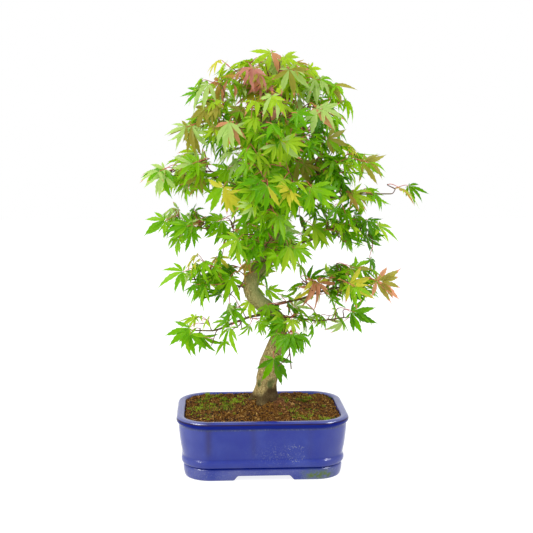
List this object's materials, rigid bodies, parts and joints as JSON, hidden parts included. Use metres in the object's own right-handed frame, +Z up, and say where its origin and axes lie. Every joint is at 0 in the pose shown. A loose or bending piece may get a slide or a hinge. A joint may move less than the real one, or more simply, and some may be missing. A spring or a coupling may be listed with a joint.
{
  "type": "japanese maple bonsai in a glazed pot",
  "caption": "Small maple bonsai with a curved trunk, spreading boughs and lobed-leaf foliage, standing in a low rounded rectangular glazed pot on corner feet.",
  "frame": {"origin": "on the surface the pot stands on, under the middle of the whole plant's box", "axes": "+Z up; +X to the plant's right, along the pot's long side; +Y to its back"},
  "size_m": [0.32, 0.232, 0.4855],
  "materials": {
    "glaze": "gloss",
    "soil": "matte",
    "bark": "matte",
    "twig": "matte",
    "leaf_fresh": "satin",
    "leaf_deep": "satin",
    "leaf_pale": "satin",
    "leaf_coral": "satin"
  },
  "bodies": {
    "root": {"pot": "glaze", "foot_front_left": "glaze", "foot_front_right": "glaze", "foot_back_left": "glaze", "foot_back_right": "glaze", "soil": "soil", "trunk": "bark", "bough_hanging_left": "twig", "bough_hanging_right": "twig", "bough_hanging_front": "twig", "bough_lower_left": "twig", "bough_lower_right": "twig", "bough_low_front": "twig", "bough_low_back": "twig", "bough_left_tier": "twig", "bough_right_tier": "twig", "bough_right_tip": "twig", "bough_middle_left": "twig", "bough_middle_right": "twig", "bough_middle_front": "twig", "bough_middle_back": "twig", "bough_upper_left": "twig", "bough_upper_right": "twig", "bough_upper_front": "twig", "bough_upper_back": "twig", "foliage_crown_top": "leaf_coral", "foliage_upper_left": "leaf_pale", "foliage_upper_right": "leaf_fresh", "foliage_upper_front": "leaf_fresh", "foliage_upper_back": "leaf_deep", "foliage_middle_left": "leaf_pale", "foliage_middle_right": "leaf_fresh", "foliage_right_tip": "leaf_fresh", "foliage_middle_front": "leaf_fresh", "foliage_middle_back": "leaf_deep", "foliage_left_tier": "leaf_fresh", "foliage_right_tier": "leaf_fresh", "foliage_low_front": "leaf_deep", "foliage_low_back": "leaf_deep", "foliage_lower_left": "leaf_deep", "foliage_lower_right": "leaf_fresh", "foliage_hanging_left": "leaf_fresh", "foliage_hanging_right": "leaf_fresh", "foliage_hanging_front": "leaf_fresh"}
  },
  "joints": []
}
